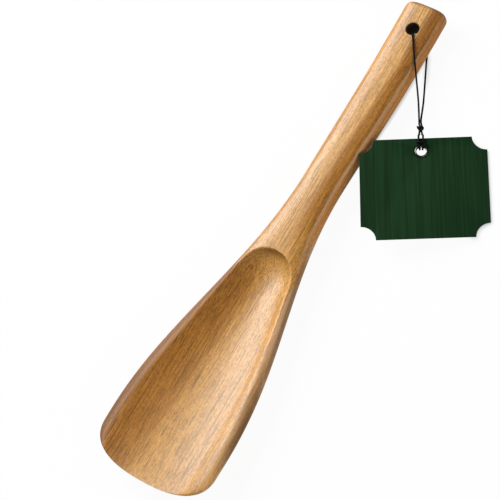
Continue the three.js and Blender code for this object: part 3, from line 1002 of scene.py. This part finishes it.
# %% Heights over the card
EYE_BORE = 2.8
EYE_FLANGE = 4.1
FACE = 0.5 * TAG_THICKNESS + 0.12
over_card = 0.5 * TAG_THICKNESS + CORD_RADIUS + 0.12
over_loop = over_card + 2 * CORD_RADIUS + 0.14
over_fold = over_loop + 2 * CORD_RADIUS + 0.12
over_flange = FACE + 0.45 + LIFT + 0.1
through_y = EYE_Y + EYE_BORE - LIFT - 0.18
print("heights", [round(v, 2) for v in (over_card, over_loop, over_fold, over_flange)], "mm")

# %% Route of the hitch
LEG = 0.78
ARM = 1.3
FOLD = 2.4
fold_y = EYE_Y + EYE_FLANGE + 0.7
leg_side = [
    (0.45, -0.6, 0.1),
    (0.6, -1.9, 0.1),
    (LEG, -2.75, 0),
    (1.15 * LEG, 0.5 * (TAG_TOP - 2.75) + 0.4, 0.75),
    (ARM, TAG_TOP + 1.15, over_loop - 0.2),
    (ARM, TAG_TOP - 0.3, over_loop + 0.12),
    (ARM, TAG_TOP - 2.2, over_loop + 0.06),
    (0.95 * ARM, fold_y, over_loop),
    (1.25 * LEG, through_y + 1.7, over_flange + 0.12),
    (1.1 * LEG, through_y + 0.75, over_flange - 0.1),
    (1.04 * LEG, through_y + 0.22, over_flange - 0.6),
    (LEG, through_y, 0.5),
    (LEG, through_y, -0.5),
    (1.04 * LEG, through_y + 0.22, -over_flange + 0.6),
    (1.1 * LEG, through_y + 0.75, -over_flange + 0.1),
    (1.3 * LEG, through_y + 1.8, -over_flange - 0.1),
    (ARM, TAG_TOP - 2.2, -over_card - 0.2),
    (ARM, TAG_TOP - 0.4, -over_card),
    (ARM, TAG_TOP + 0.52, -0.82),
    (ARM, TAG_TOP + CORD_RADIUS + 0.36, 0),
    (ARM, TAG_TOP + 0.52, 0.82),
    (ARM, TAG_TOP - 0.4, over_card),
    (ARM + 0.05, fold_y + 2.1, over_card),
    (0.8 * FOLD, fold_y + 0.75, over_card + 0.25),
    (FOLD, fold_y + 0.15, over_loop - 0.1),
    (0.88 * FOLD, fold_y - 0.12, over_loop + 0.66),
    (0.5 * FOLD, fold_y - 0.15, over_fold),
]
other_side = [(-x, y, z) for x, y, z in reversed(leg_side)]
bight = (0, fold_y - 0.15, over_fold + 0.08)
hitch_route = [tag_place @ (p * MM) for p in smooth_route(leg_side + [bight] + other_side, 0.25)]
print("hitch is", round(length_of(hitch_route) / MM), "mm of thread")

# %% Make the hitch
hitch = twisted_cord("cord_hitch", hitch_route)
hitch.data.materials.append(thread)
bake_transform(hitch)
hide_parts("tag_hitch")
bpy.data.objects.remove(ply_section)
print("hitch has", len(hitch.data.polygons), "faces")

# %% [markdown]
# ## The card
# The tag is a dark green board, cut with a corner punch that leaves a hollow quarter circle at each
# corner, and with a round hole for the eyelet. A box is the board, cylinders are the punches, and a
# Bevel takes the knife edge off the rim.

# %% Cut the card
NOTCH = 8.6
bpy.ops.object.select_all(action="DESELECT")
tag_middle = Vector((TAG_MIDDLE, TAG_TOP - 0.5 * TAG_HEIGHT, 0))
bpy.ops.mesh.primitive_cube_add(size=1)
card = bpy.context.object
card.name = "tag_board"
board_size = Matrix.Diagonal((TAG_WIDTH, TAG_HEIGHT, TAG_THICKNESS, 1))
card.data.transform(Matrix.Translation(tag_middle) @ board_size)
punches = []
for edge_x in (TAG_MIDDLE - 0.5 * TAG_WIDTH, TAG_MIDDLE + 0.5 * TAG_WIDTH):
    punches += [(edge_x, TAG_TOP, NOTCH), (edge_x, TAG_TOP - TAG_HEIGHT, NOTCH)]
punches.append((0, EYE_Y, EYE_BORE + 0.7))
for x, y, radius in punches:
    bpy.ops.mesh.primitive_cylinder_add(vertices=72, radius=radius, depth=6, location=(x, y, 0))
    punch = bpy.context.object
    cut = card.modifiers.new("punch", "BOOLEAN")
    cut.object = punch
    cut.solver = "EXACT"
    bpy.context.view_layer.objects.active = card
    bpy.ops.object.modifier_apply(modifier=cut.name)
    bpy.data.objects.remove(punch)
rim = card.modifiers.new("rim", "BEVEL")
rim.width = 0.14
rim.segments = 2
rim.limit_method = "ANGLE"
rim.angle_limit = math.radians(50)
bpy.ops.object.modifier_apply(modifier=rim.name)
bpy.ops.object.select_all(action="DESELECT")
card.select_set(True)
bpy.ops.object.shade_smooth_by_angle(angle=math.radians(30))
card.data.transform(tag_place @ Matrix.Scale(MM, 4))
print("card has", len(card.data.polygons), "faces")

# %% [markdown]
# ## Dark green board
# The board is dyed through, with the fine upright lines of a laid paper. The lines are about a
# millimetre apart, a little lighter on their crowns, and are pressed a few hundredths of a
# millimetre deep. A dark ring just outside the eyelet's rim is a painted shadow of that rim.

# %% Laid board finish
tree, board = new_material("dark_green_laid_board")
place = add(tree, "ShaderNodeTexCoord").outputs["Object"]
tag_frame = {"Vector": place, "Location": tag_place.translation, "Rotation": tag_place.to_euler()}
flat = add(tree, "ShaderNodeMapping", tag_frame, vector_type="TEXTURE").outputs[0]
stretched = add(tree, "ShaderNodeMapping", {"Vector": flat, "Scale": (1, 1 / 40, 1)}).outputs[0]
laid_inputs = {"Vector": stretched, "Scale": 1 / (1.3 * MM), "Detail": 1.0}
laid = add(tree, "ShaderNodeTexNoise", laid_inputs).outputs["Fac"]
pulp_inputs = {"Vector": flat, "Scale": 1 / (0.5 * MM), "Detail": 3.0}
pulp = add(tree, "ShaderNodeTexNoise", pulp_inputs).outputs["Fac"]
mixed = reckon(tree, "MULTIPLY_ADD", pulp, 0.35, laid)
green = two_tones(tree, mixed, "#142E17", "#1C3B20", start=0.45, end=0.9)
eye = (0, EYE_Y * MM, 0)
from_eye = add(tree, "ShaderNodeVectorMath", {0: flat, 1: eye}, operation="DISTANCE").outputs["Value"]
# Painted shadow: a dark ring on the card just outside the eyelet's rim.
rim_shadow = in_range(tree, from_eye, 5.0 * MM, 4.1 * MM, high=0.75)
green_and_rim_shadow = mix_colours(tree, rim_shadow, green, colour("#060C07"))
relief = add(tree, "ShaderNodeBump", {"Height": mixed, "Strength": 0.2, "Distance": 0.1 * MM})
dye = {"Base Color": green_and_rim_shadow, "Normal": relief.outputs[0], "Roughness": 0.75}
dyed = add(tree, "ShaderNodeBsdfPrincipled", {**dye, "Specular IOR Level": 0.06})
add(tree, "ShaderNodeOutputMaterial", {"Surface": dyed.outputs[0]})
card.data.materials.clear()
card.data.materials.append(board)
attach(card, "tag")
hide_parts("tag_card")
print("board finish", board.name)

# %% [markdown]
# ## The eyelet
# An eyelet is a short tube whose ends are rolled over on to both faces of the card. An open
# cylinder is the tube. The rim at each end is extruded outwards and down in small steps, which
# rolls it, and a Solidify and a Subdivision Surface give it its wall and its round edges.

# %% Roll the eyelet
TUBE_RADIUS = EYE_BORE + 0.12
ROLL = ((0.1, 0.22), (0.25, 0.1), (0.3, -0.08), (0.22, -0.18))
bpy.ops.object.select_all(action="DESELECT")
tube = {"vertices": 48, "radius": TUBE_RADIUS, "depth": 2 * FACE, "end_fill_type": "NOTHING"}
bpy.ops.mesh.primitive_cylinder_add(location=(0, EYE_Y, 0), **tube)
eyelet = bpy.context.object
eyelet.name = "tag_eyelet_rolled"
bpy.ops.object.transform_apply(location=True, rotation=True, scale=True)
bpy.ops.object.mode_set(mode="EDIT")
bpy.ops.mesh.select_mode(type="EDGE")
for side in (1, -1):
    bpy.ops.mesh.select_all(action="DESELECT")
    for edge in bmesh.from_edit_mesh(eyelet.data).edges:
        edge.select_set(all(point.co.z * side > FACE - 0.01 for point in edge.verts))
    now = TUBE_RADIUS
    for wider, rise in ROLL:
        bpy.ops.mesh.extrude_region_move(TRANSFORM_OT_translate={"value": (0, 0, side * rise)})
        grow = (now + wider) / now
        bpy.ops.transform.resize(value=(grow, grow, 1), center_override=(0, EYE_Y, 0))
        now += wider
bpy.ops.mesh.select_all(action="SELECT")
bpy.ops.mesh.normals_make_consistent(inside=False)
bpy.ops.object.mode_set(mode="OBJECT")
print("rolled tube has", len(eyelet.data.polygons), "faces")

# %% Give the eyelet its wall
wall = eyelet.modifiers.new("wall", "SOLIDIFY")
wall.thickness = 0.18
wall.offset = 0
round_edges = eyelet.modifiers.new("round_edges", "SUBSURF")
round_edges.levels = 2
round_edges.render_levels = 2
for modifier in ("wall", "round_edges"):
    bpy.ops.object.modifier_apply(modifier=modifier)
bpy.ops.object.shade_smooth()
eyelet.data.transform(tag_place @ Matrix.Scale(MM, 4))
eyelet.data.update()
bpy.context.view_layer.update()
print("eyelet is", [round(v / MM, 1) for v in eyelet.dimensions], "mm")

# %% [markdown]
# ## Nickel-plated brass
# Plated eyelets are bright and a little grey, with faint scratches from the setting tool. A fine
# noise in the roughness is enough at this size.

# %% Nickel finish
tree, nickel = new_material("nickel_plated_brass")
place = add(tree, "ShaderNodeTexCoord").outputs["Object"]
fine = {"Vector": place, "Scale": 1 / (0.4 * MM), "Detail": 2.0}
scratches = add(tree, "ShaderNodeTexNoise", fine).outputs["Fac"]
grade = in_range(tree, scratches, 0.3, 0.7, low=0.2, high=0.34)
grey = two_tones(tree, scratches, "#5E5C58", "#86847F")
plated = {"Base Color": grey, "Metallic": 1.0, "Roughness": grade}
plate = add(tree, "ShaderNodeBsdfPrincipled", plated)
add(tree, "ShaderNodeOutputMaterial", {"Surface": plate.outputs[0]})
eyelet.data.materials.clear()
eyelet.data.materials.append(nickel)
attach(eyelet, "tag")
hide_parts("tag_eyelet")
print("metal finish", nickel.name)
